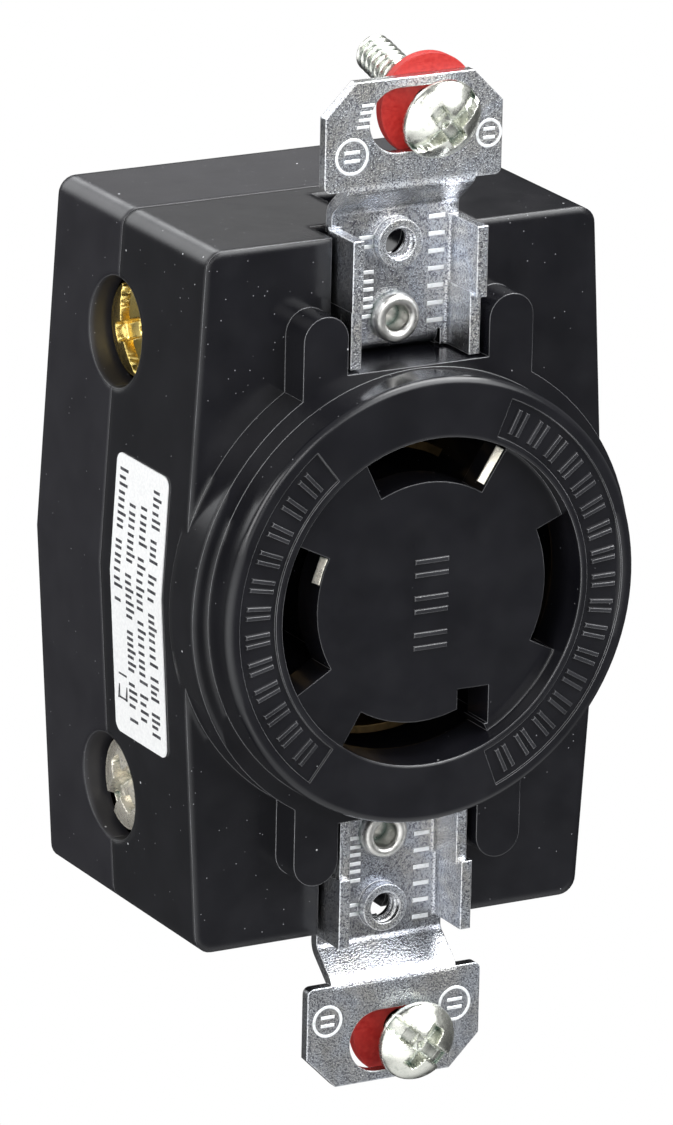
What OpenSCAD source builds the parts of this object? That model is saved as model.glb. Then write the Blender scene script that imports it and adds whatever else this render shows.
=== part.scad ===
// Flush-mounting locking receptacle: a two-part moulded body with four curved blade slots,
// two channel-shaped mounting straps, captive mounting screws and clamp terminals at the sides.
// +Z is up, the face looks towards -Y, and Y = 0 is the back surface of the mounting ears.

/* [Body] */
// Height of the body from end to end
body_h = 63; // [62:0.5:66]
// Width of the body across its middle, where the side walls peak
body_w = 41.5; // [41:0.25:43]
// Width of the body at its two ends
body_end_w = 38; // [37.5:0.25:40]
// Depth of the rear cover, behind the parting plane
cover_d = 12.2; // [12:0.2:15]
// Radius of the four long corners of the body
corner_r = 1.6; // [0.8:0.2:2.4]

/* [Face] */
// Diameter of the round face that fills the wall plate's opening
face_d = 40; // [39:0.1:40.2]
// How far the face stands in front of the stepped platform
face_h = 3.5; // [2.5:0.1:5]
// Diameter of the sunk centre of the face
well_d = 29.4; // [29.2:0.1:30.4]
// Depth of the sunk centre
well_depth = 1.7; // [0.5:0.1:2]
// Radius of the stepped platform behind the face
platform_r = 21.5; // [20.8:0.1:22.5]
// Height of the platform in front of the body
platform_h = 3.3; // [2:0.1:3.5]
// Width of each rounded finger beside the straps
finger_w = 4.3; // [3:0.1:5]
// Distance of a finger's tip from the middle of the face
finger_tip_z = 25.6; // [24:0.1:28]

/* [Straps] */
// Distance between the two mounting slots
slot_pitch = 83.3; // [83.3]
// Distance between the two tapped holes for the wall plate
plate_pitch = 60.3; // [60.3]
// Distance between the two rivets
rivet_pitch = 46.9; // [46:0.1:48]
// Thickness of the strap's sheet steel
sheet = 1; // [0.8:0.1:1.1]
// Width of each ear
ear_w = 17.2; // [16:0.1:20]
// Overall height across the two ears
ear_span = 90.7; // [89:0.1:92]
// Width of the neck that joins an ear to its channel
neck_w = 12.4; // [11:0.1:12.8]
// Length of a mounting slot, end to end
slot_l = 8.7; // [8:0.1:10]
// Width of a mounting slot
slot_w = 5.7; // [5.6:0.1:6]

/* [Fasteners] */
// Diameter of a mounting screw's head
box_head_d = 7.3; // [6.8:0.1:7.6]
// Length of a mounting screw below its head
box_screw_l = 12.7; // [10:0.1:19]
// Major diameter of a mounting screw
box_screw_d = 3.5; // [3.5]
// Length of the undercut neck that keeps a mounting screw in its washer
box_neck_l = 4.7; // [4.5:0.1:5]
// Resting tilt of the top mounting screw in its slot, tip upwards
top_tilt = 14; // [0:1:14]
// Resting tilt of the bottom mounting screw in its slot, tip upwards
bottom_tilt = 6; // [0:1:10]
// Diameter of a retaining washer
washer_d = 9.2; // [8:0.1:9.6]
// Thickness of a retaining washer
washer_t = 0.9; // [0.8:0.1:1.5]
// Diameter of a terminal screw's head
term_head_d = 8.6; // [8:0.1:9]
// Diameter of the side holes over the terminal screws
side_hole_d = 9.8; // [9.6:0.1:10.2]

/* [Hidden] */
$fn = 64;

// Planes along Y, from the front of the face to the back of the cover
body_y = 0.6;
platform_y = body_y - platform_h;
face_y = platform_y - face_h;
well_y = face_y + well_depth;
parting_y = 16;
back_y = parting_y + cover_d;
ear_y = -sheet;
web_y = 2;
web_back_y = web_y + sheet;
pocket_y = -1;
base_y = 10.4;
base_t = 1.2;
leaf_y = 3.5;

// Strap stations along Z, for the top strap
channel_end_z = 20.4;
channel_step_z = 25.6;
channel_top_z = 31.9;
joggle_low_z = 33.4;
ear_low_z = 35.9;
ear_corner = 2.9;
channel_wide = 13.1;
channel_narrow = 12.6;
channel_front = 0.6;
bend_r = 1.4;
joggle_r = 1.3;
leg_w = 8.8;
leg_back_y = 8;
recess_w = 13.8;
recess_z = 20.2;
collar_h = 1.04;
collar_r = 2.15;
tapped_r = 1.45;
rivet_r = 1.6;
rivet_head_r = 2.2;
fit_gap = 0.05;

// Blade slots: start and end angle from +X, and inner radius; contacts share one jaw size
right_slot = [-26.7, 22.7, 12];
top_slot = [57.5, 115, 10.3];
left_slot = [153.4, 211, 10.4];
bottom_slot = [238.5, 297, 11.3];
slot_r = well_d / 2;
jaw_r = [11.2, 12, 14, 14.7];
pocket_r = [9, 16];

// Terminals sit at the body's four corners, with their screws along X on the parting plane
term_z = 20.7;
term_side_x = body_w / 2 - (body_w - body_end_w) / body_h * term_z;
term_head_x = term_side_x - 1;
term_head_h = 2.2;
leg_x = term_head_x - term_head_h - fit_gap;
leg_t = 1.25;
term_shank_r = 2.08;
term_tip_x = 8;
clamp_gap = 3.2;
clamp_t = 2.2;
term_pocket = [7.8, 17.2];
term_pocket_z = [14.8, 26.6];
clamp_h = 9.6;
clamp_d = 8;
wire_x = leg_x - leg_t - clamp_gap / 2;
wire_z = 17.4;
wire_r = 1.9;

// Mounting screws and washers
box_head_h = 2.3;
box_neck_r = 1.4;
washer_bore_r = 1.6;
top_pivot = [1.9, ear_y + sheet / 2, slot_pitch / 2 + 0.5];
bottom_pivot = [1.9, ear_y + sheet / 2, -slot_pitch / 2 - 0.15];
top_washer_y = fit_gap;
bottom_washer_y = 1.3;

// Flat shape in X and Z, drawn through the depth from y0 back to y1
module along_y(y0, y1)
    translate([0, y1, 0]) rotate([90, 0, 0]) linear_extrude(y1 - y0) children();

// Flat shape in Y and Z, drawn across the width w, centred on X = 0
module across_x(w)
    translate([-w / 2, 0, 0]) rotate([90, 0, 90]) linear_extrude(w) children();

// Round bar or bore along Y
module bar_y(r, y0, y1)
    translate([0, y1, 0]) rotate([90, 0, 0]) cylinder(h = y1 - y0, r = r);

// Box from one corner to the opposite one
module block(low, high)
    translate(low) cube(high - low);

// Children as given, and again turned half a turn about the face axis
module twice_about_y() {
    children();
    rotate([0, 180, 0]) children();
}

// Ring sector from angle a0 to a1, less than half a turn
module sector(r_in, r_out, a0, a1) {
    reach = 2 * r_out;
    steps = 6;
    intersection() {
        difference() {
            circle(r_out);
            circle(r_in);
        }
        polygon([[0, 0], for (i = [0:steps]) let(a = a0 + (a1 - a0) * i / steps)
            reach * [cos(a), sin(a)]]);
    }
}

// Points of a rounded corner at p, turning from angle a0 to a1
function corner(p, r, a0, a1, n = 6) =
    [for (i = [0:n]) let(a = a0 + (a1 - a0) * i / n) p + r * [cos(a), sin(a)]];

// Six-sided outline of the body, widest across the middle, with rounded end corners
module body_outline() {
    hx = body_w / 2;
    ex = body_end_w / 2;
    hz = body_h / 2;
    r = corner_r;
    polygon([[hx, 0], each corner([ex - r, hz - r], r, 0, 90),
        each corner([-ex + r, hz - r], r, 90, 180), [-hx, 0],
        each corner([-ex + r, -hz + r], r, 180, 270),
        each corner([ex - r, -hz + r], r, 270, 360)]);
}

// Round platform with four rounded fingers beside the strap recesses
module platform_outline() {
    circle(platform_r, $fn = 128);
    tip_r = finger_w / 2;
    for (sx = [-1, 1], sz = [-1, 1]) {
        scale([sx, sz]) {
            translate([recess_w / 2, 0]) square([finger_w, finger_tip_z - tip_r]);
            translate([recess_w / 2 + tip_r, finger_tip_z - tip_r]) circle(tip_r);
        }
    }
}

// Round face with a softened front edge
module face_disc() {
    edge = 0.6;
    h = body_y + 1 - face_y;
    profile = [[0, 0], [face_d / 2, 0],
        each corner([face_d / 2 - edge, h - edge], edge, 0, 90), [0, h]];
    translate([0, face_y + h, 0]) rotate([90, 0, 0]) rotate_extrude($fn = 128) polygon(profile);
}

// Two shallow panels on the flat rim of the face
module rim_panels() {
    panel_depth = 0.25;
    along_y(face_y - 1, face_y + panel_depth) {
        sector(well_d / 2 + 0.6, face_d / 2 - 1.2, 128, 231.5);
        sector(well_d / 2 + 0.6, face_d / 2 - 1.2, -69, 67);
    }
}

// Channel through one end of the housing for a strap, with its deeper outer part
module strap_recess() {
    block([-recess_w / 2, platform_y - 1, recess_z], [recess_w / 2, web_back_y, body_h]);
    block([-recess_w / 2, body_y, 27.2], [recess_w / 2, web_back_y + 1.6, body_h]);
    block([-leg_w / 2 - 0.3, body_y, recess_z], [leg_w / 2 + 0.3, leg_back_y + 0.5, channel_end_z + 1.3]);
    translate([0, 0, plate_pitch / 2]) bar_y(2.1, body_y, 14);
    translate([0, 0, rivet_pitch / 2]) bar_y(rivet_r + fit_gap, body_y, parting_y + 1);
}

// Space at one corner for a terminal, in the housing and in the cover
module terminal_pocket(y0, y1)
    block([term_pocket[0], y0, term_pocket_z[0]], [term_pocket[1], y1, term_pocket_z[1]]);

// Every pocket behind the face, for the four contacts and their terminals
module contact_pockets() {
    twice_about_y() {
        along_y(pocket_y, parting_y + 1) {
            sector(pocket_r[0], pocket_r[1], 52, 124);
            sector(pocket_r[0], pocket_r[1], -32, 38);
        }
        block([-term_pocket[1], 6, 10.5], [-6.5, parting_y + 1, term_pocket_z[1]]);
        block([11.5, 6, 5], [term_pocket[1], parting_y + 1, term_pocket_z[1]]);
    }
    for (sx = [0, 1], sz = [0, 1])
        mirror([sx, 0, 0]) mirror([0, 0, sz]) terminal_pocket(9.4, parting_y + 1);
    block([3.2, pocket_y, -12], [7.1, base_y + 2, -8.5]);
}

// Four side holes over the terminal screws, half in the housing and half in the cover
module side_holes()
    for (sx = [0, 1], sz = [-1, 1])
        mirror([sx, 0, 0]) translate([term_pocket[1] - 2, parting_y, sz * term_z])
            rotate([0, 90, 0]) cylinder(h = 12, d = side_hole_d);

// Opening in the face for one blade
module blade_slot(slot)
    along_y(face_y - 1, pocket_y + 1) sector(slot[2], slot_r, slot[0], slot[1]);

module front_housing() {
    color("#17171a")
    difference() {
        union() {
            along_y(body_y, parting_y) body_outline();
            along_y(platform_y, body_y + 1) platform_outline();
            face_disc();
        }
        bar_y(well_d / 2, face_y - 1, well_y);
        rim_panels();
        blade_slot(right_slot);
        blade_slot(top_slot);
        blade_slot(left_slot);
        blade_slot(bottom_slot);
        block([3.6, face_y - 1, -12.4], [6.7, pocket_y + 1, -8.9]);
        strap_recess();
        mirror([0, 0, 1]) strap_recess();
        contact_pockets();
        side_holes();
    }
}

module rear_cover() {
    wall = 2.6;
    post_r = 1.6;
    color("#17171a") {
        difference() {
            along_y(parting_y, back_y) body_outline();
            block([-15, parting_y - 1, -12.6], [15, back_y - wall, 12.6]);
            for (sx = [0, 1], sz = [0, 1])
                mirror([sx, 0, 0]) mirror([0, 0, sz]) {
                    terminal_pocket(parting_y - 1, 22);
                    translate([wire_x, 0, wire_z]) bar_y(wire_r, 20, back_y + 1);
                }
            for (sz = [-1, 1])
                translate([0, 0, sz * rivet_pitch / 2]) {
                    bar_y(rivet_r + fit_gap, parting_y - 1, back_y);
                    bar_y(3.4, back_y - 1.4, back_y + 1);
                }
            side_holes();
        }
        for (a = [-2, 86, 182, 268])
            rotate([0, -a, 0]) translate([12.5, 0, 0])
                bar_y(post_r, base_y + base_t + fit_gap, back_y - wall + 0.5);
    }
}

// Section in Y and Z of the web's inner end, bent back into the housing from the height bend_z down
module end_bend(bend_z) {
    in = 0.3;
    out = in + sheet;
    centre = [web_y + out, bend_z];
    polygon([[web_y, bend_z + 0.3], each corner(centre, out, 180, 270), [leg_back_y, bend_z - out],
        [leg_back_y, bend_z - in], each corner(centre, in, 270, 180), [web_back_y, bend_z + 0.3]]);
}

// Outline in X and Y of a channel's outside, with its two bends
module channel_side(hw, y_back, r) {
    y_front = platform_y + fit_gap;
    translate([-hw, y_front]) square([2 * hw, y_back - r - y_front]);
    translate([-hw + r, y_front]) square([2 * (hw - r), y_back - y_front]);
    for (sx = [-1, 1]) translate([sx * (hw - r), y_back - r]) circle(r);
}

// Channel of bent sheet from z0 up to z1, open to the front, its flanges cut back by the given amount
module channel(w, z0, z1, cut_back)
    translate([0, 0, z0]) linear_extrude(z1 - z0) difference() {
        channel_side(w / 2, web_back_y, bend_r);
        translate([0, -sheet]) channel_side(w / 2 - sheet, web_back_y, bend_r - sheet);
        translate([-w, platform_y - 3]) square([2 * w, 3 + fit_gap + cut_back]);
    }

// Mounting slot with round ends
module slot_outline() {
    half = (slot_l - slot_w) / 2;
    for (sx = [-1, 1]) translate([sx * half, slot_pitch / 2]) circle(d = slot_w);
    translate([-half, (slot_pitch - slot_w) / 2]) square([2 * half, slot_w]);
}

// Flat part of an ear, with shoulders on both sides of the neck's first bend
module ear_outline(bend_z) {
    hx = ear_w / 2;
    top = ear_span / 2;
    r = 0.6;
    polygon([each corner([hx - r, ear_low_z + r], r, 270, 360), [hx, top - ear_corner],
        [hx - ear_corner, top], [-hx + ear_corner, top], [-hx, top - ear_corner],
        each corner([-hx + r, ear_low_z + r], r, 180, 270),
        [-neck_w / 2, ear_low_z], [-neck_w / 2, bend_z], [neck_w / 2, bend_z], [neck_w / 2, ear_low_z]]);
}

// Section of the neck in Y and Z, bent back from the ear and down again to the web
module joggle_section(from, to, tangent, turn) {
    in = joggle_r - sheet / 2;
    out = joggle_r + sheet / 2;
    lap = 0.3;
    first = [from[0] + joggle_r, from[1] + tangent];
    second = [to[0] - joggle_r, to[1] - tangent];
    polygon([first + [-out, lap], each corner(first, out, 180, 180 + turn), each corner(second, in, turn, 0),
        second + [in, -lap], second + [out, -lap],
        each corner(second, out, 0, turn), each corner(first, in, 180 + turn, 180), first + [-in, lap]]);
}

// The top strap; the bottom one is its mirror image
module strap() {
    mid_web = web_y + sheet / 2;
    mid_ear = ear_y + sheet / 2;
    turn = atan2(mid_web - mid_ear, ear_low_z - joggle_low_z);
    tangent = joggle_r * tan(turn / 2);
    bend_z = channel_end_z + 1.3;
    notch_x = leg_w / 2 + 0.3;
    difference() {
        union() {
            along_y(ear_y, 0) ear_outline(ear_low_z + tangent + 0.1);
            across_x(neck_w)
                joggle_section([mid_ear, ear_low_z], [mid_web, joggle_low_z], tangent, turn);
            block([-neck_w / 2, web_y, channel_top_z - 0.5],
                [neck_w / 2, web_back_y, joggle_low_z - tangent - 0.1]);
            channel(channel_wide, channel_step_z, channel_top_z, 0);
            difference() {
                channel(channel_narrow, channel_end_z, channel_step_z + 0.4, channel_front);
                block([-notch_x, web_y - 1, channel_end_z - 1], [notch_x, web_back_y + 1, bend_z + 0.1]);
            }
            across_x(leg_w) end_bend(bend_z);
            translate([0, 0, plate_pitch / 2]) bar_y(collar_r, web_y - collar_h, web_y + 0.5);
        }
        along_y(ear_y - 1, 1) slot_outline();
        translate([0, 0, plate_pitch / 2]) bar_y(tapped_r, -2, web_back_y + 1);
        translate([0, 0, rivet_pitch / 2]) bar_y(rivet_r + fit_gap, -2, web_back_y + 1);
    }
}

module strap_top() {
    color("#c9ccd1") strap();
}

module strap_bottom() {
    color("#c9ccd1") mirror([0, 0, 1]) strap();
}

// Semi-tubular rivet: cupped front head on the web, rolled rear head in the cover's counterbore
module tube_rivet() {
    bore_r = 1.1;
    dome_r = (rivet_head_r - bore_r) / 2;
    front = web_y - 0.55;
    rear = back_y - 1.4;
    difference() {
        union() {
            bar_y(rivet_r, front, rear + 0.8);
            bar_y(rivet_head_r, front, web_y);
            translate([0, front, 0]) rotate([90, 0, 0]) rotate_extrude()
                translate([rivet_head_r - dome_r, 0]) circle(dome_r, $fn = 32);
            bar_y(2.6, rear, rear + 0.8);
        }
        bar_y(bore_r, front - 2, front + 1.7);
        bar_y(bore_r, rear - 3, rear + 3);
    }
}

module body_rivets() {
    color("#b5b2aa") for (sz = [-1, 1]) translate([0, 0, sz * rivet_pitch / 2]) tube_rivet();
}

// One-piece brass contact: two curved leaves on a base plate, with an arm to the terminal leg.
// Drawn for the upper left (kind 0) or the upper right (kind 1) corner.
module contact(slot, kind) {
    side = kind == 0 ? -1 : 1;
    arm_end = kind == 0 ? 122 : 36;
    plate_x = kind == 0 ? 6.9 : 11.8;
    arm_z = kind == 0 ? 11 : 6;
    base_back = base_y + base_t;
    jaw = [slot[0] + 2, slot[1] - 2];
    difference() {
        union() {
            along_y(leaf_y, base_back) {
                sector(jaw_r[0], jaw_r[1], jaw[0], jaw[1]);
                sector(jaw_r[2], jaw_r[3], jaw[0], jaw[1]);
            }
            along_y(base_y, base_back) {
                sector(jaw_r[0], jaw_r[3], jaw[0], arm_end);
                scale([side, 1]) {
                    translate([plate_x, arm_z]) square([kind == 0 ? 3.2 : leg_x - plate_x, 10]);
                    translate([plate_x, 15.6]) square([leg_x - plate_x, 10.2]);
                }
            }
            scale([side, 1, 1]) block([leg_x - leg_t, base_y, 15.6], [leg_x, 21, 25.8]);
        }
        translate([0, parting_y, term_z]) rotate([0, 90, 0])
            cylinder(h = 60, r = term_shank_r + 0.2, center = true);
    }
}

module contact_top() {
    color("#c8a04a") contact(top_slot, 0);
}

module contact_right() {
    color("#c8a04a") contact(right_slot, 1);
}

module contact_bottom() {
    color("#c8a04a") rotate([0, 180, 0]) contact(bottom_slot - [180, 180, 0], 0);
}

module contact_left() {
    color("#c8a04a") rotate([0, 180, 0]) contact(left_slot - [180, 180, 0], 1);
}

// Cross recess with a screwdriver slot, sunk from the top of a head of diameter d
module driver_recess(d, depth) {
    slot_width = 0.13 * d;
    arm_width = 0.17 * d;
    arm_length = 0.58 * d;
    translate([-d, -slot_width / 2, -0.45 * depth]) cube([2 * d, slot_width, depth]);
    for (a = [0, 90])
        rotate(a) translate([-arm_length / 2, -arm_width / 2, -depth]) cube([arm_length, arm_width, 2 * depth]);
}

// Screw along +Z with its head's underside at Z = 0 and the shank below it, thinner along the neck
module screw(head_d, head_h, shank_r, length, edge, neck_r = 0, neck_l = 0) {
    tip = 0.5;
    neck = neck_l > 0 ? [[shank_r, -neck_l], [neck_r, -neck_l], [neck_r, 0]] : [[shank_r, 0]];
    dome_r = (head_d * head_d / 4 + pow(head_h - edge, 2)) / (2 * (head_h - edge));
    dome_a = asin(head_d / 2 / dome_r);
    dome = [for (i = [0:8]) let(a = dome_a * (1 - i / 8))
        [dome_r * sin(a), head_h - dome_r + dome_r * cos(a)]];
    difference() {
        rotate_extrude() polygon([[0, -length], [shank_r - tip, -length], [shank_r, -length + tip],
            each neck, [head_d / 2, 0], each dome]);
        translate([0, 0, head_h]) driver_recess(head_d, 0.62 * head_h);
    }
}

// Frame of a mounting screw: its axis runs back through the pivot, tip raised by the tilt
module screw_frame(pivot, tilt)
    translate(pivot) rotate([tilt, 0, 0]) rotate([90, 0, 0]) children();

// Washer parallel to the ear, its front at the given depth, centred on the tilted screw
module washer(pivot, tilt, front) {
    middle = front + washer_t / 2;
    translate([pivot[0], 0, pivot[2] + (middle - pivot[1]) * tan(tilt)]) difference() {
        bar_y(washer_d / 2, front, front + washer_t);
        bar_y(washer_bore_r, front - 1, front + washer_t + 1);
    }
}

module washer_top() {
    color("#c8281e") washer(top_pivot, top_tilt, top_washer_y);
}

module washer_bottom() {
    color("#c8281e") washer(bottom_pivot, bottom_tilt, bottom_washer_y);
}

// Mounting screw, turned about its own axis by the given angle, with its head resting on the ear
module mounting_screw(pivot, tilt, turn) {
    stand_off = sheet / 2 / cos(tilt) + box_head_d / 2 * tan(tilt) + fit_gap;
    screw_frame(pivot, tilt) translate([0, 0, stand_off]) rotate(turn)
        screw(box_head_d, box_head_h, box_screw_d / 2, box_screw_l, 0.7, box_neck_r, box_neck_l);
}

module mounting_screw_top() {
    color("#dcd7b8") mounting_screw(top_pivot, top_tilt, 38);
}

module mounting_screw_bottom() {
    color("#dcd7b8") mounting_screw(bottom_pivot, bottom_tilt, -38);
}

// Moves a terminal drawn for the upper right corner to another corner
module at_corner(left, low)
    mirror([left, 0, 0]) mirror([0, 0, low]) children();

module terminal_screw(turn)
    translate([leg_x + fit_gap, parting_y, term_z]) rotate([0, 90, 0]) rotate(turn)
        screw(term_head_d, term_head_h, term_shank_r, leg_x + fit_gap - term_tip_x, 1.3);

module terminal_screw_upper_left() {
    color("#c9a13c") at_corner(1, 0) terminal_screw(20);
}

module terminal_screw_upper_right() {
    color("#c9a13c") at_corner(0, 0) terminal_screw(65);
}

module terminal_screw_lower_right() {
    color("#c9a13c") at_corner(0, 1) terminal_screw(-15);
}

module terminal_screw_lower_left() {
    color("#b9b5a8") at_corner(1, 1) terminal_screw(-50);
}

// Clamp plate, threaded on the terminal screw, with a groove across its gripping face
module clamp_plate() {
    outer_x = leg_x - leg_t - clamp_gap;
    groove = 0.5;
    difference() {
        block([outer_x - clamp_t, parting_y - clamp_d / 2, term_z - clamp_h / 2],
            [outer_x, parting_y + clamp_d / 2, term_z + clamp_h / 2]);
        translate([outer_x - clamp_t - 1, parting_y, term_z]) rotate([0, 90, 0])
            cylinder(h = clamp_t + 2, r = term_shank_r + fit_gap);
        for (sz = [-1, 1])
            translate([outer_x - groove, parting_y - clamp_d, term_z + sz * 3.3 - 0.4])
                cube([2 * groove, 2 * clamp_d, 0.8]);
    }
}

module clamp_plate_upper_left() {
    color("#b98d3a") at_corner(1, 0) clamp_plate();
}

module clamp_plate_upper_right() {
    color("#b98d3a") at_corner(0, 0) clamp_plate();
}

module clamp_plate_lower_right() {
    color("#b98d3a") at_corner(0, 1) clamp_plate();
}

module clamp_plate_lower_left() {
    color("#b98d3a") at_corner(1, 1) clamp_plate();
}

// Blank paper label, folded over the peak of the left side wall
module rating_label() {
    thick = 0.12;
    low = -14.7;
    high = 10.7;
    slope = (body_w - body_end_w) / body_h;
    side = function(z) -body_w / 2 + slope * abs(z);
    front = 4.4;
    rear = 13.9;
    r = 0.9;
    color("#eeeeea") intersection() {
        along_y(front, rear)
            polygon([[side(low), low], [side(0), 0], [side(high), high],
                [side(high) - thick, high], [side(0) - thick, 0], [side(low) - thick, low]]);
        across_x(body_w + 4) {
            translate([front + r, low]) square([rear - front - 2 * r, high - low]);
            translate([front, low + r]) square([rear - front, high - low - 2 * r]);
            for (y = [front + r, rear - r], z = [low + r, high - r]) translate([y, z]) circle(r, $fn = 32);
        }
    }
}

front_housing();
rear_cover();
strap_top();
strap_bottom();
body_rivets();
contact_top();
contact_right();
contact_bottom();
contact_left();
washer_top();
washer_bottom();
mounting_screw_top();
mounting_screw_bottom();
terminal_screw_upper_left();
terminal_screw_upper_right();
terminal_screw_lower_right();
terminal_screw_lower_left();
clamp_plate_upper_left();
clamp_plate_upper_right();
clamp_plate_lower_right();
clamp_plate_lower_left();
rating_label();
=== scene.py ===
import math
import random

import bmesh
import bpy
from mathutils import Matrix, Vector


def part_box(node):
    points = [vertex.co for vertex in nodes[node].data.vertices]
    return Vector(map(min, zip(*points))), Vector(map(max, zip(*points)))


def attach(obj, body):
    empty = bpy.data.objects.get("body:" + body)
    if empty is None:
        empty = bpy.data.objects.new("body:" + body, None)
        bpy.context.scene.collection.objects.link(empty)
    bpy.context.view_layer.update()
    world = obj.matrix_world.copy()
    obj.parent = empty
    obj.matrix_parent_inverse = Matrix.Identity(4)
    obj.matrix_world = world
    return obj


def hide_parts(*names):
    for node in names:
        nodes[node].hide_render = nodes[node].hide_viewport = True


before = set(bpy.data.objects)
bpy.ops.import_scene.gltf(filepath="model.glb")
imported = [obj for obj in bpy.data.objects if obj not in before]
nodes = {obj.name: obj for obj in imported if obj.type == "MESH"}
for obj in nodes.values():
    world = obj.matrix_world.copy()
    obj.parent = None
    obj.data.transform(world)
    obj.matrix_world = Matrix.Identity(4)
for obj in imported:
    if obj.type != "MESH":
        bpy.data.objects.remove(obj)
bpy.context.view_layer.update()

rng = random.Random(7)

# Sizes in millimetres, taken from the CAD model
MM = 0.001
PITCH = 0.794
BODY_W = 41.5
BODY_END_W = 38
BODY_H = 63
LABEL_T = 0.12
EAR_Y = -1
WEB_Y = 2
WELL_Y = -4.5
RIM_PANEL_Y = -5.95
WELL_R = 14.7
PLATE_HOLE_Z = 30.15
PLATE_HOLE_R = 1.45
TERM_Y = 16
TERM_Z = 20.7
TERM_HEAD_H = 2.2


# ---------------------------------------------------------------- finishes

class Finish:
    """A node material, with short helpers for its nodes."""

    def __init__(self, name):
        self.mat = bpy.data.materials.new(name)
        self.mat.use_nodes = True
        self.tree = self.mat.node_tree
        self.tree.nodes.clear()
        self.out = self.tree.nodes.new("ShaderNodeOutputMaterial")
        self.coords = self.node("ShaderNodeTexCoord").outputs["Object"]

    def node(self, kind, inputs=None, **settings):
        made = self.tree.nodes.new(kind)
        for key, value in settings.items():
            setattr(made, key, value)
        for key, value in (inputs or {}).items():
            if isinstance(value, bpy.types.NodeSocket):
                self.tree.links.new(value, made.inputs[key])
            else:
                made.inputs[key].default_value = value
        return made

    def stretched(self, x, y, z):
        made = self.node("ShaderNodeMapping", {"Vector": self.coords, "Scale": (x, y, z)})
        return made.outputs["Vector"]

    def noise(self, scale, detail=2.0, vector=None, distortion=0.0):
        made = self.node("ShaderNodeTexNoise", {"Vector": vector or self.coords, "Scale": scale,
            "Detail": detail, "Distortion": distortion})
        return made.outputs[0]

    def spread(self, value, low, high, to_low=0.0, to_high=1.0):
        made = self.node("ShaderNodeMapRange", {"Value": value, "From Min": low, "From Max": high,
            "To Min": to_low, "To Max": to_high})
        return made.outputs["Result"]

    def mix(self, share, first, second):
        made = self.node("ShaderNodeMix", {0: share, 6: first, 7: second}, data_type="RGBA")
        return made.outputs[2]

    def split(self):
        made = self.node("ShaderNodeSeparateXYZ", {0: self.coords})
        return made.outputs[0], made.outputs[1], made.outputs[2]

    def size(self, value):
        return self.node("ShaderNodeMath", {0: value}, operation="ABSOLUTE").outputs[0]

    def dust(self, scale, dot, rarity):
        """Small round dots in some of the cells of a scattered grid."""
        made = self.node("ShaderNodeTexVoronoi", {"Vector": self.coords, "Scale": scale})
        near = self.spread(made.outputs["Distance"], dot, dot * 1.6, 1.0, 0.0)
        pick = self.spread(made.outputs["Color"], rarity, rarity + 0.02)
        return self.node("ShaderNodeMath", {0: near, 1: pick}, operation="MULTIPLY").outputs[0]

    def soft_edges(self, radius):
        return self.node("ShaderNodeBevel", {"Radius": radius}, samples=6).outputs["Normal"]

    def edge_line(self, width):
        """1 on the very edges and 0 away from them."""
        here = self.node("ShaderNodeNewGeometry").outputs["Normal"]
        turn = self.node("ShaderNodeVectorMath", {0: self.soft_edges(width), 1: here},
            operation="DOT_PRODUCT")
        return self.spread(turn.outputs["Value"], 0.95, 0.80)

    def crevice(self, reach):
        """1 in narrow recesses and 0 on open surfaces."""
        shade = self.node("ShaderNodeAmbientOcclusion", {"Distance": reach}, samples=6)
        return self.spread(shade.outputs["AO"], 0.85, 0.35)

    def bump(self, height, strength, depth, normal):
        made = self.node("ShaderNodeBump", {"Height": height, "Strength": strength,
            "Distance": depth, "Normal": normal})
        return made.outputs["Normal"]

    def surface(self, color, metallic, roughness, normal, **more):
        inputs = {"Base Color": color, "Metallic": metallic, "Roughness": roughness, "Normal": normal}
        inputs.update({key.replace("_", " "): value for key, value in more.items()})
        shader = self.node("ShaderNodeBsdfPrincipled", inputs)
        self.tree.links.new(shader.outputs[0], self.out.inputs["Surface"])
        return self.mat


def rgb(r, g, b):
    return (r, g, b, 1.0)


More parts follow.
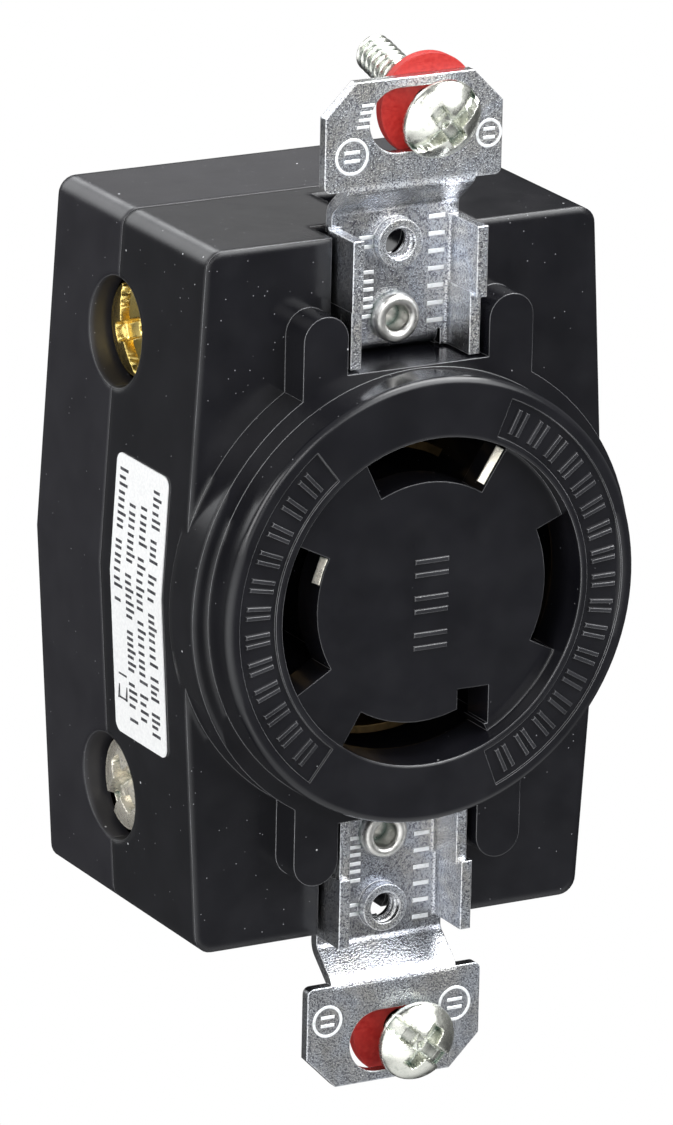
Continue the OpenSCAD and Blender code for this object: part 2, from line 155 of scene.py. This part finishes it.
def moulding(name, dark, light, edge=0.00016, corner=0.0009):
    """Glossy moulded black with dust and painted highlights along its edges.

    The body's outer corners are rounder than its other edges, and the walls of the side holes are duller.
    """
    f = Finish(name)
    haze = f.spread(f.noise(220, 3.0), 0.35, 0.7)
    color = f.mix(f.dust(1100, 0.045, 0.55), f.mix(haze, dark, light), rgb(0.20, 0.20, 0.21))
    color = f.mix(f.dust(380, 0.03, 0.7), color, rgb(0.55, 0.55, 0.56))
    # Painted highlight: a light line along the edges, patchy in strength
    highlight_patchiness = f.spread(f.noise(140, 2.0), 0.35, 0.65, 0.25, 1.0)
    line = f.node("ShaderNodeMath", {0: f.edge_line(0.00011), 1: highlight_patchiness}, operation="MULTIPLY").outputs[0]
    color = f.mix(line, color, rgb(0.30, 0.30, 0.31))
    x, y, z = f.split()
    hole_y = f.node("ShaderNodeMath", {0: y, 1: TERM_Y * MM}, operation="SUBTRACT").outputs[0]
    hole_z = f.node("ShaderNodeMath", {0: f.size(z), 1: TERM_Z * MM}, operation="SUBTRACT").outputs[0]
    hole = f.node("ShaderNodeCombineXYZ", {"Y": hole_y, "Z": hole_z}).outputs[0]
    hole = f.node("ShaderNodeVectorMath", {0: hole}, operation="LENGTH").outputs["Value"]
    cut = f.spread(hole, 0.0048, 0.0052, 0.4, 0.0)
    roughness = f.node("ShaderNodeMath", {0: f.spread(f.noise(300, 3.0), 0.3, 0.7, 0.13, 0.24), 1: cut},
        operation="ADD").outputs[0]
    side = f.spread(f.size(x), 0.0180, 0.0184)
    end = f.spread(f.size(z), 0.0298, 0.0302)
    outer = f.node("ShaderNodeMath", {0: side, 1: end}, operation="MAXIMUM").outputs[0]
    flat = f.node("ShaderNodeCombineXYZ", {"X": x, "Z": z}).outputs[0]
    reach = f.node("ShaderNodeVectorMath", {0: flat}, operation="LENGTH").outputs["Value"]
    rim = f.node("ShaderNodeMath", {0: reach, 1: WELL_R * MM}, operation="SUBTRACT").outputs[0]
    well = f.spread(f.size(rim), 0.0004, 0.0005, 0.00026, 0.0)
    radius = f.node("ShaderNodeMath", {0: f.spread(outer, 0.0, 1.0, edge, corner), 1: well},
        operation="ADD").outputs[0]
    peel = f.bump(f.noise(900, 3.0), 0.16, 0.00005, f.soft_edges(radius))
    normal = f.bump(f.noise(5200, 1.0), 0.10, 0.00002, peel)
    return f.surface(color, 0.0, roughness, normal, IOR=1.5)


def zinc_sheet():
    """Grainy plated sheet, with painted highlights on its edges, painted shade on the webs, and painted shade
    darkening it towards the lower end.
    """
    f = Finish("zinc_strap")
    grain = f.noise(6200, 3.0)
    streak = f.noise(1.0, 3.0, f.stretched(1400, 1400, 300))
    cloud = f.spread(f.noise(260, 4.0, distortion=0.6), 0.35, 0.65)
    color = f.mix(cloud, rgb(0.80, 0.84, 0.90), rgb(0.78, 0.77, 0.74))
    color = f.mix(f.spread(grain, 0.50, 0.62, 0.0, 0.85), color, rgb(0.20, 0.20, 0.25))
    x, y, z = f.split()
    # Painted shade: darker towards the lower end, as more light falls from above
    color = f.mix(f.spread(z, -0.040, 0.036, 0.22, 0.0), color, rgb(0.05, 0.05, 0.06))
    # Painted shade on the webs, which sit back in the housing's recess
    color = f.mix(f.spread(y, 0.0015, 0.0019, 0.0, 0.38), color, rgb(0.05, 0.05, 0.07))
    # Painted highlight: near-white and less metallic along the edges
    line = f.edge_line(0.00012)
    color = f.mix(line, color, rgb(0.95, 0.96, 0.98))
    metallic = f.spread(line, 0.0, 1.0, 1.0, 0.4)
    roughness = f.spread(streak, 0.3, 0.7, 0.15, 0.28)
    rolled = f.bump(streak, 0.2, 0.00003, f.soft_edges(0.0002))
    normal = f.bump(grain, 1.0, 0.00005, rolled)
    return f.surface(color, metallic, roughness, normal)


def plated(name, bright, dull, roughness=0.24, edge=0.0001, metallic=1.0):
    f = Finish(name)
    cloud = f.spread(f.noise(700, 4.0, distortion=0.8), 0.35, 0.68)
    stain = f.spread(f.noise(2600, 2.0), 0.55, 0.75, 0.0, 0.5)
    color = f.mix(stain, f.mix(cloud, bright, dull), rgb(0.42, 0.45, 0.40))
    # Dark greenish colour in narrow recesses: painted shade in the hollows, with a greenish plating tint
    color = f.mix(f.crevice(0.0009), color, rgb(0.07, 0.12, 0.10))
    rough = f.spread(f.noise(1800, 3.0), 0.3, 0.7, roughness - 0.06, roughness + 0.1)
    normal = f.bump(f.noise(3800, 2.0), 0.25, 0.00002, f.soft_edges(edge))
    return f.surface(color, metallic, rough, normal)


def brass(name, bright, dull, roughness=0.24):
    f = Finish(name)
    tarnish = f.spread(f.noise(520, 4.0, distortion=1.2), 0.35, 0.7)
    spot = f.spread(f.noise(3000, 2.0), 0.6, 0.78, 0.0, 0.6)
    color = f.mix(spot, f.mix(tarnish, bright, dull), rgb(0.20, 0.12, 0.04))
    rough = f.spread(tarnish, 0.0, 1.0, roughness - 0.05, roughness + 0.12)
    normal = f.bump(f.noise(2600, 3.0), 0.3, 0.00002, f.soft_edges(0.00012))
    return f.surface(color, 1.0, rough, normal)


def fibre():
    f = Finish("red_fibre")
    fleck = f.spread(f.noise(2600, 3.0), 0.35, 0.7)
    color = f.mix(fleck, rgb(0.36, 0.010, 0.008), rgb(0.46, 0.024, 0.017))
    normal = f.bump(f.noise(1.0, 2.0, f.stretched(900, 5200, 900)), 0.4, 0.00004, f.soft_edges(0.0002))
    return f.surface(color, 0.0, f.spread(fleck, 0.0, 1.0, 0.42, 0.6), normal)


def paper():
    f = Finish("label_paper")
    weave = f.noise(3600, 3.0)
    color = f.mix(f.spread(weave, 0.35, 0.7), rgb(0.76, 0.76, 0.76), rgb(0.86, 0.86, 0.85))
    normal = f.bump(weave, 0.2, 0.00002, f.soft_edges(0.00006))
    return f.surface(color, 0.0, 0.38, normal)


def ink():
    f = Finish("label_ink")
    wear = f.spread(f.noise(4200, 3.0), 0.45, 0.75)
    color = f.mix(wear, rgb(0.035, 0.035, 0.04), rgb(0.16, 0.16, 0.17))
    return f.surface(color, 0.0, 0.6, f.soft_edges(0.00002), Specular_IOR_Level=0.08)


MOULDING = moulding("black_moulding", rgb(0.0045, 0.0045, 0.0060), rgb(0.0075, 0.0075, 0.0095))
COVER = moulding("cover_moulding", rgb(0.0110, 0.0105, 0.0135), rgb(0.0170, 0.0165, 0.0200))
# The raised marks are the black moulding coloured lighter: a painted highlight for light catching their edges
RAISED = moulding("raised_moulding_painted_highlight", rgb(0.014, 0.014, 0.016), rgb(0.024, 0.024, 0.027),
    0.0001, 0.0001)
ZINC = zinc_sheet()
STAMP = plated("stamped_zinc", rgb(0.93, 0.94, 0.95), rgb(0.84, 0.86, 0.88), 0.34, 0.00006, 0.45)
RIVET = plated("rivet_metal", rgb(0.70, 0.69, 0.66), rgb(0.52, 0.51, 0.49), 0.32)
SCREW = plated("box_screw_zinc", rgb(0.86, 0.86, 0.78), rgb(0.76, 0.77, 0.70), 0.24)
# The contacts' brass is coloured very dark: painted shade, as they sit deep in the slots
CONTACT = brass("contact_brass", rgb(0.15, 0.10, 0.045), rgb(0.08, 0.055, 0.025), 0.42)
CLAMP = brass("clamp_brass", rgb(0.72, 0.52, 0.22), rgb(0.55, 0.38, 0.15), 0.32)
BRASS = brass("terminal_brass", rgb(0.82, 0.64, 0.22), rgb(0.66, 0.48, 0.14), 0.24)
NICKEL = plated("terminal_nickel", rgb(0.92, 0.87, 0.76), rgb(0.76, 0.71, 0.60), 0.28,
    0.0001, 0.7)
FIBRE = fibre()
PAPER = paper()
INK = ink()

for name, node in nodes.items():
    if name == "front_housing":
        finish = MOULDING
    elif name == "rear_cover":
        finish = COVER
    elif name.startswith("strap_"):
        finish = ZINC
    elif name == "body_rivets":
        finish = RIVET
    elif name.startswith("contact_"):
        finish = CONTACT
    elif name.startswith("clamp_plate_"):
        finish = CLAMP
    elif name.startswith("washer_"):
        finish = FIBRE
    elif name == "rating_label":
        finish = PAPER
    elif name.startswith("mounting_screw_"):
        finish = SCREW
    else:
        finish = NICKEL if name == "terminal_screw_lower_left" else BRASS
    node.data.materials.clear()
    node.data.materials.append(finish)


# ---------------------------------------------------------------- pieces

def piece(name, verts, faces, finish, body, smooth=True, sharp=35):
    mesh = bpy.data.meshes.new(name)
    mesh.from_pydata([Vector(v) for v in verts], [], faces)
    work = bmesh.new()
    work.from_mesh(mesh)
    bmesh.ops.recalc_face_normals(work, faces=work.faces)
    work.to_mesh(mesh)
    work.free()
    if smooth:
        mesh.shade_smooth()
        mesh.set_sharp_from_angle(angle=math.radians(sharp))
    mesh.materials.append(finish)
    made = bpy.data.objects.new(name, mesh)
    bpy.context.scene.collection.objects.link(made)
    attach(made, body)
    return made


def step(x):
    x = min(1.0, max(0.0, x))
    return x * x * (3 - 2 * x)


def inside(distance, blur):
    """1 well inside an edge, 0 well outside it, turning over the width blur."""
    return step(0.5 - distance / blur)


def driver_recess(x, y, d):
    """Depth of the combined slot and cross recess at a point of a head of diameter d, slot along x."""
    depth = 0.115 * d * inside(abs(y) - 0.092 * d, 0.02 * d)
    reach = 0.29 * d
    for u, v in ((x, y), (y, x)):
        far = min(1.0, abs(u) / reach)
        arm = inside(abs(v) - (0.10 - 0.015 * far) * d, 0.022 * d) * inside(abs(u) - reach, 0.03 * d)
        depth = max(depth, arm * d * (0.12 + 0.13 * (1 - far)))
    return depth


class Skin:
    """Closed loops of points, joined into strips."""

    def __init__(self):
        self.verts = []
        self.faces = []

    def tube(self, loops, cap_first=True, cap_last=True):
        n = len(loops[0])
        base = len(self.verts)
        for loop in loops:
            self.verts.extend(loop)
        for i in range(len(loops) - 1):
            for j in range(n):
                k = (j + 1) % n
                a = base + i * n
                self.faces.append((a + j, a + k, a + n + k, a + n + j))
        if cap_first:
            self.faces.append(tuple(base + j for j in range(n)))
        if cap_last:
            last = base + (len(loops) - 1) * n
            self.faces.append(tuple(last + j for j in range(n)))

    def placed(self, matrix):
        return [matrix @ (Vector(v) * MM) for v in self.verts]


def screw(node, place, d, head_h, edge, shank_r, length, neck_r, neck_l, finish):
    """Screw with a domed head, its underside at local z 0, and a rolled thread down to -length."""
    skin = Skin()
    n = 112
    turn = [2 * math.pi * j / n for j in range(n)]
    rise = head_h - edge
    dome = (d * d / 4 + rise * rise) / (2 * rise)
    rim = 0.25
    loops = []
    for i in range(38):
        r = 0.02 + (d / 2 - rim - 0.02) * i / 37
        z = head_h - dome + math.sqrt(dome * dome - r * r)
        loops.append([(r * math.cos(t), r * math.sin(t),
            z - driver_recess(r * math.cos(t), r * math.sin(t), d)) for t in turn])
    for r, z in ((d / 2 - 0.10, edge + 0.12), (d / 2 - 0.01, edge - 0.08), (d / 2, edge - 0.25),
                 (d / 2, 0.12), (d / 2 - 0.08, 0.02), (d / 2 - 0.2, 0.0), (neck_r + 0.15, 0.0),
                 (neck_r, -0.15)):
        loops.append([(r * math.cos(t), r * math.sin(t), max(0.0 if z >= 0 else -9,
            z - (0.6 * driver_recess(r * math.cos(t), r * math.sin(t), d) if z > 0.2 else 0))) for t in turn])
    skin.tube(loops, cap_last=False)
    n = 48
    turn = [2 * math.pi * j / n for j in range(n)]
    loops = [[(neck_r * math.cos(t), neck_r * math.sin(t), z) for t in turn] for z in (-0.15, -neck_l)]
    rows = int((length - neck_l) / PITCH * 8)
    for i in range(rows + 1):
        z = -neck_l - (length - neck_l) * i / rows
        loop = []
        for t in turn:
            phase = (-z / PITCH + t / (2 * math.pi)) % 1.0
            crest = 1 - min(1.0, abs(phase - 0.5) * 2 / 0.85)
            depth = 0.6 * PITCH * (1 - min(1.0, 1.25 * crest))
            fade = step(min((-z - neck_l) / PITCH, (length + z) / (0.8 * PITCH)))
            r = shank_r - depth * fade - (1 - fade) * 0.6 * PITCH
            loop.append((r * math.cos(t), r * math.sin(t), z))
        loops.append(loop)
    skin.tube(loops, cap_first=False)
    made = piece("threaded_" + node, skin.placed(place), skin.faces, finish, node, sharp=50)
    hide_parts(node)


def spin(axis, degrees):
    return Matrix.Rotation(math.radians(degrees), 4, axis)


def shift(x, y, z):
    return Matrix.Translation(Vector((x, y, z)) * MM)


def box_screw(node, pivot, tilt, turn):
    """Box-mounting screw leaning by tilt about its pivot in the ear, its head just clear of the ear."""
    off = 0.5 / math.cos(math.radians(tilt)) + 3.65 * math.tan(math.radians(tilt)) + 0.05
    place = shift(*pivot) @ spin("X", tilt + 90) @ shift(0, 0, off) @ spin("Z", turn)
    screw(node, place, 7.3, 2.3, 0.7, 1.75, 12.7, 1.35, 4.7, SCREW)


box_screw("mounting_screw_top", (1.9, -0.5, 42.15), 14, 40)
box_screw("mounting_screw_bottom", (1.9, -0.5, -41.8), 6, -40)

for corner, sx, sz, turn in (("upper_left", -1, 1, 20), ("upper_right", 1, 1, 65),
                             ("lower_right", 1, -1, -15), ("lower_left", -1, -1, -50)):
    node = "terminal_screw_" + corner
    low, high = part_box(node)
    seat = (high.x if sx > 0 else -low.x) / MM - TERM_HEAD_H + 0.002
    place = shift(sx * seat, TERM_Y, sz * TERM_Z) @ spin("Y", 90 * sx) @ spin("Z", turn)
    metal = NICKEL if corner == "lower_left" else BRASS
    screw(node, place, 8.6, TERM_HEAD_H, 1.3, 2.08, seat - 8, 1.7, 1.4, metal)


class Relief:
    """Raised bars, rings and dots laid on small planes, gathered into one mesh."""

    def __init__(self):
        self.verts = []
        self.faces = []

    def stack(self, loops):
        n = len(loops[0])
        base = len(self.verts)
        for loop in loops:
            self.verts.extend(loop)
        for i in range(len(loops) - 1):
            for j in range(n):
                k = (j + 1) % n
                a = base + i * n
                self.faces.append((a + j, a + k, a + n + k, a + n + j))
        return base, n

    def bar(self, at, along, across, half_l, half_w, height, soft=0.25):
        """Bar with softened top edges; at is on the surface, and along x across points out of it."""
        at, along, across = Vector(at), Vector(along).normalized(), Vector(across).normalized()
        out = along.cross(across)
        inset = soft * min(half_l, half_w)
        loops = []
        for lift, cut in ((-0.03, 0), (height * 0.55, 0), (height, inset)):
            loops.append([(at + along * (su * (half_l - cut)) + across * (sv * (half_w - cut))
                + out * lift) * MM for su, sv in ((-1, -1), (1, -1), (1, 1), (-1, 1))])
        base, n = self.stack(loops)
        self.faces.append(tuple(base + 2 * n + j for j in range(n)))

    def ring(self, at, along, across, radius, width, height, n=40):
        at, along, across = Vector(at), Vector(along).normalized(), Vector(across).normalized()
        out = along.cross(across)
        loops = []
        for r, lift in ((radius - width / 2, -0.03), (radius - width / 3, height),
                        (radius + width / 3, height), (radius + width / 2, -0.03)):
            loops.append([(at + along * (r * math.cos(2 * math.pi * j / n))
                + across * (r * math.sin(2 * math.pi * j / n)) + out * lift) * MM for j in range(n)])
        self.stack(loops)

    def done(self, name, finish, body="receptacle"):
        return piece(name, self.verts, self.faces, finish, body, smooth=False)


# Plain tick marks in the two sunk panels of the rim
marks = Relief()
for first, last, count in ((135.5, 224.5, 12), (61.5, -63.5, 17)):
    for i in range(count):
        middle = first + (last - first) * i / (count - 1)
        for offset in (-1.35, 1.35):
            a = math.radians(middle + offset)
            radial = (math.cos(a), 0, math.sin(a))
            tangent = (-math.sin(a), 0, math.cos(a))
            marks.bar((17.0 * radial[0], RIM_PANEL_Y, 17.0 * radial[2]), radial, tangent,
                1.15, 0.2, 0.24)
marks.done("rim_tick_marks", RAISED)

# Three pairs of plain bars on the sunk centre
marks = Relief()
for z in (2.6, -0.7, -4.0):
    for offset in (-0.6, 0.6):
        marks.bar((0.75, WELL_Y, z + offset), (1, 0, 0), (0, 0, 1), 1.65, 0.22, 0.16)
marks.done("centre_bars", RAISED)

# Flared edges of the contacts, seen in the top and the left slot, coloured bright nickel as a painted
# highlight against the shaded contacts
marks = Relief()
for angle, radius, turned, half in ((57.5, 12.7, 90, 1.75), (160.5, 10.55, 0, 1.2)):
    a = math.radians(angle)
    face = math.radians(angle + turned)
    lean = math.radians(36)
    out_of = Vector((math.cos(face) * math.cos(lean), -math.sin(lean), math.sin(face) * math.cos(lean)))
    run = Vector((math.sin(face), 0, -math.cos(face)))
    base = Vector((radius * math.cos(a), -4.0, radius * math.sin(a)))
    if turned:
        base += Vector((math.cos(face), 0, math.sin(face))) * 0.3
    marks.bar(base, run, out_of.cross(run), half, 0.38, 0.05)
marks.done("contact_flares", NICKEL)

# Plain stamped rings and bars on the ears, and bars on the webs of the straps
for name, sz, rings in (("top", 1, ((-6.0, 38.9, 1.5), (7.3, 39.6, 1.15))),
                        ("bottom", -1, ((-6.6, -39.1, 1.35), (6.1, -39.4, 1.5)))):
    marks = Relief()
    for x, z, r in rings:
        marks.ring((x, EAR_Y, z), (1, 0, 0), (0, 0, 1), r, 0.32, 0.05)
        for offset in (-0.38, 0.38):
            marks.bar((x, EAR_Y, z + offset), (1, 0, 0), (0, 0, 1), 0.5 * r, 0.15, 0.05)
    if sz > 0:
        for i in range(4):
            marks.bar((-5.0 + 0.15 * i, EAR_Y, 41.4 + 0.62 * i), (1, 0, 0), (0, 0, 1),
                0.6, 0.13, 0.04)
    marks.done("ear_stamps_" + name, STAMP)
    marks = Relief()
    for i in range(5):
        z = sz * (24.1 + 1.55 * i)
        if sz * z < 28.2 or i > 3:
            for offset in (-0.42, 0.42):
                marks.bar((-2.75, WEB_Y, z + offset), (1, 0, 0), (0, 0, 1), 0.75, 0.17, 0.05)
    for i in range(7):
        marks.bar((4.1, WEB_Y, sz * (22.6 + 1.55 * i)), (1, 0, 0), (0, 0, 1), 0.8, 0.2, 0.05)
    marks.done("web_stamps_" + name, STAMP)

# Rows of plain ticks stand in for the label's print; they spell nothing
marks = Relief()
slope = (BODY_W - BODY_END_W) / BODY_H


def label_face(z):
    """How far left the label's face is at height z."""
    return -BODY_W / 2 + slope * abs(z) - LABEL_T


for y, start, stop in ((6.1, 8.9, -13.2), (8.2, 6.9, -13.0), (10.3, 6.6, -12.9), (12.4, 9.3, -3.0)):
    z = start
    while z > stop:
        for i in range(rng.randint(4, 9)):
            if z <= stop:
                break
            half = rng.choice((0.55, 0.55, 0.75))
            tilt = -slope if z > 0 else slope
            marks.bar((label_face(z), y + (0.75 - half), z), (tilt, 0, 1), (0, 1, 0),
                0.17, half, 0.012, 0.0)
            z -= rng.choice((0.56, 0.62, 0.72))
        z -= 0.75
for z in (-9.2, -11.4):
    marks.bar((label_face(z), 12.2, z), (slope, 0, 1), (0, 1, 0), 0.09, 0.75, 0.012, 0.0)
for y in (11.5, 12.9):
    marks.bar((label_face(-10.3), y, -10.3), (slope, 0, 1), (0, 1, 0), 1.15, 0.09, 0.012, 0.0)
marks.done("label_ticks", INK)


# Thread turns inside the two tapped holes of the straps
for name, sz in (("top", 1), ("bottom", -1)):
    skin = Skin()
    loops = []
    for i in range(90):
        a = 2 * math.pi * i / 32
        y = 1.02 + 0.7 * i / 32
        loop = []
        for dr, dy in ((0.02, -0.26), (-0.22, 0.0), (0.02, 0.26)):
            r = PLATE_HOLE_R + dr
            loop.append((r * math.cos(a), y + dy, sz * PLATE_HOLE_Z + r * math.sin(a)))
        loops.append(loop)
    skin.tube(loops)
    piece("tapped_turns_" + name, skin.placed(Matrix.Identity(4)), skin.faces, ZINC,
          "receptacle", sharp=20)


# ---------------------------------------------------------------- floor, light and camera

def floor_paper():
    """Plain white to the camera, and dim paper to everything else."""
    f = Finish("floor_paper")
    tone = f.mix(f.noise(9, 3.0), rgb(0.42, 0.42, 0.42), rgb(0.46, 0.46, 0.46))
    paper_shade = f.node("ShaderNodeBsdfDiffuse", {"Color": tone})
    white = f.node("ShaderNodeEmission", {"Color": rgb(1, 1, 1), "Strength": 1.0})
    path = f.node("ShaderNodeLightPath")
    both = f.node("ShaderNodeMixShader", {0: path.outputs["Is Camera Ray"],
        1: paper_shade.outputs[0], 2: white.outputs[0]})
    f.tree.links.new(both.outputs[0], f.out.inputs["Surface"])
    return f.mat


bpy.ops.mesh.primitive_plane_add(size=12, location=(0, 0, -0.0462))
floor = bpy.context.object
floor.name = "floor"
floor.data.materials.append(floor_paper())
floor.visible_glossy = False
floor.visible_diffuse = False
floor.visible_shadow = False

# The room as the object's surfaces see it: a dim studio with soft fields in some directions. Each
# field has a direction, the angles where it starts to fade and ends, and what it adds to the light.
world = bpy.data.worlds.new("studio")
bpy.context.scene.world = world
world.use_nodes = True
tree = world.node_tree
tree.nodes.clear()
direction = tree.nodes.new("ShaderNodeTexCoord").outputs["Generated"]
total = None
for toward, inner, outer, radiance in (
        ((0.1, -0.1, 1), 0, 179, 0.34),
        ((-0.93, -0.20, -0.28), 16, 44, 1.5),
        ((-0.50, -0.80, -0.30), 16, 40, 1.3),
        ((-0.46, 0.83, -0.30), 10, 50, 0.07),
        ((0.19, -0.35, -0.92), 20, 52, 0.9),
        ((0.46, 0.83, 0.30), 12, 40, -0.13),
        ((-0.30, 0.84, 0.45), 8, 28, 2.2),
        ((0.24, 0.83, 0.50), 3, 12, 3.0),
        ((0.44, -0.45, 0.78), 12, 34, 4.0),
        ((0.46, -0.80, 0.40), 8, 26, 4.0)):
    aim = tree.nodes.new("ShaderNodeVectorMath")
    aim.operation = "DOT_PRODUCT"
    tree.links.new(direction, aim.inputs[0])
    aim.inputs[1].default_value = Vector(toward).normalized()
    field = tree.nodes.new("ShaderNodeMapRange")
    field.interpolation_type = "SMOOTHSTEP"
    field.inputs["From Min"].default_value = math.cos(math.radians(outer))
    field.inputs["From Max"].default_value = math.cos(math.radians(inner))
    field.inputs["To Max"].default_value = radiance
    tree.links.new(aim.outputs["Value"], field.inputs["Value"])
    if total is None:
        total = field.outputs["Result"]
    else:
        add = tree.nodes.new("ShaderNodeMath")
        tree.links.new(total, add.inputs[0])
        tree.links.new(field.outputs["Result"], add.inputs[1])
        total = add.outputs[0]
room = tree.nodes.new("ShaderNodeBackground")
room.inputs["Color"].default_value = rgb(0.97, 0.985, 1.0)
tree.links.new(total, room.inputs["Strength"])
white = tree.nodes.new("ShaderNodeBackground")
white.inputs["Color"].default_value = rgb(1, 1, 1)
path = tree.nodes.new("ShaderNodeLightPath")
both = tree.nodes.new("ShaderNodeMixShader")
out = tree.nodes.new("ShaderNodeOutputWorld")
tree.links.new(path.outputs["Is Camera Ray"], both.inputs[0])
tree.links.new(room.outputs[0], both.inputs[1])
tree.links.new(white.outputs[0], both.inputs[2])
tree.links.new(both.outputs[0], out.inputs["Surface"])


def softbox(name, place, width, height, radiance):
    """Soft rectangular lamp that faces the object."""
    light = bpy.data.lights.new(name, "AREA")
    light.shape = "RECTANGLE"
    light.size = width
    light.size_y = height
    light.energy = math.pi * width * height * radiance
    made = bpy.data.objects.new(name, light)
    made.location = place
    made.rotation_euler = (-Vector(place)).to_track_quat("-Z", "Y").to_euler()
    bpy.context.scene.collection.objects.link(made)


softbox("top_box", (0.26, -0.04, 0.55), 0.50, 0.42, 7.5)
softbox("left_box", (-0.52, -0.16, 0.30), 0.36, 0.36, 5.0)
softbox("front_box", (-0.20, -0.72, 0.36), 0.34, 0.30, 4.5)
softbox("back_card", (0.092, 0.2075, 0.075), 0.045, 0.08, 0.35)

# The camera stands a little over three quarters of a metre away, to the left and above
azimuth, elevation, roll = math.radians(-28.93), math.radians(17.465), math.radians(1.22)
back = Vector((math.sin(azimuth) * math.cos(elevation), -math.cos(azimuth) * math.cos(elevation),
    math.sin(elevation)))
right = (-back).cross(Vector((0, 0, 1))).normalized()
up = right.cross(-back)
eye = (right * -5.848 + up * 1.866 + back * 766.9 - Vector((0, 1, 0))) * MM
side = right * math.cos(roll) + up * math.sin(roll)
top = up * math.cos(roll) - right * math.sin(roll)
camera = bpy.data.objects.new("camera", bpy.data.cameras.new("camera"))
camera.matrix_world = Matrix((
    (side.x, top.x, back.x, eye.x), (side.y, top.y, back.y, eye.y),
    (side.z, top.z, back.z, eye.z), (0, 0, 0, 1)))
camera.data.sensor_fit = "AUTO"
camera.data.sensor_width = 36
camera.data.lens = 284.1
camera.data.clip_start = 0.05
camera.data.clip_end = 30
bpy.context.scene.collection.objects.link(camera)
bpy.context.scene.camera = camera
bpy.context.scene.view_settings.view_transform = "Standard"
